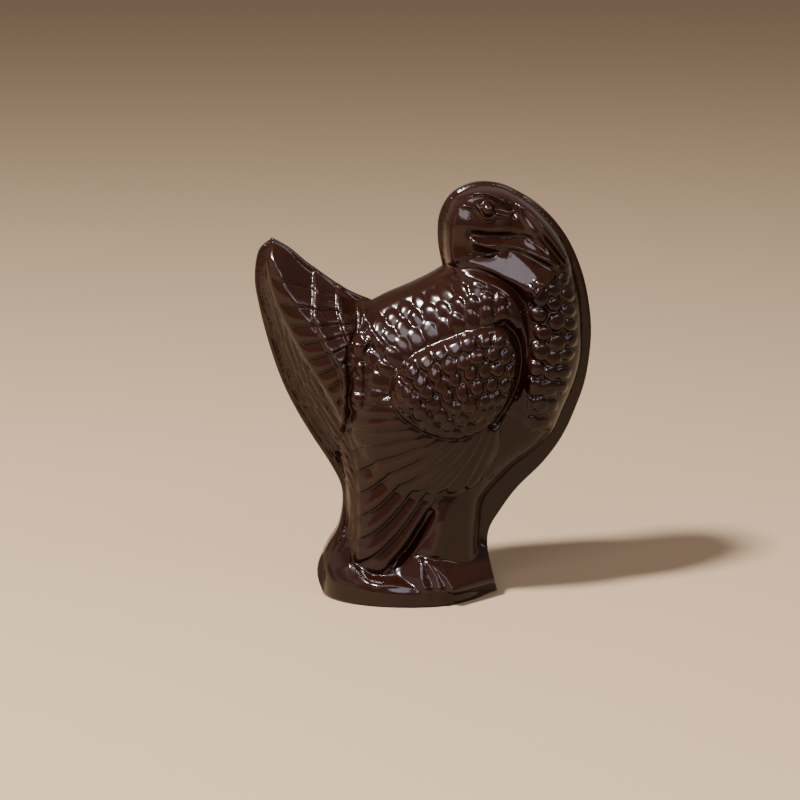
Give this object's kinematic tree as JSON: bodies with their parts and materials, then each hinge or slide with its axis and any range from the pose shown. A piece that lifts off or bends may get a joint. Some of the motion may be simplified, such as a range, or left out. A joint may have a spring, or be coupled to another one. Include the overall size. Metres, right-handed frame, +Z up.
{
  "type": "moulded chocolate turkey",
  "caption": "Moulded dark chocolate turkey with a fanned tail, scaled wing and breast feathers, standing on its own oval base, with a thin rim along the seam.",
  "frame": {"origin": "centre of the bounding box at the floor, under the turkey's base", "axes": "+X towards the turkey's breast and beak, +Y across the seam, +Z up"},
  "size_m": [0.1044, 0.0492, 0.13],
  "materials": {
    "dark_chocolate": "glossy tempered dark chocolate as it leaves a polished mould, with a soft sheen"
  },
  "bodies": {
    "root": {"turkey": "dark_chocolate"}
  },
  "joints": []
}
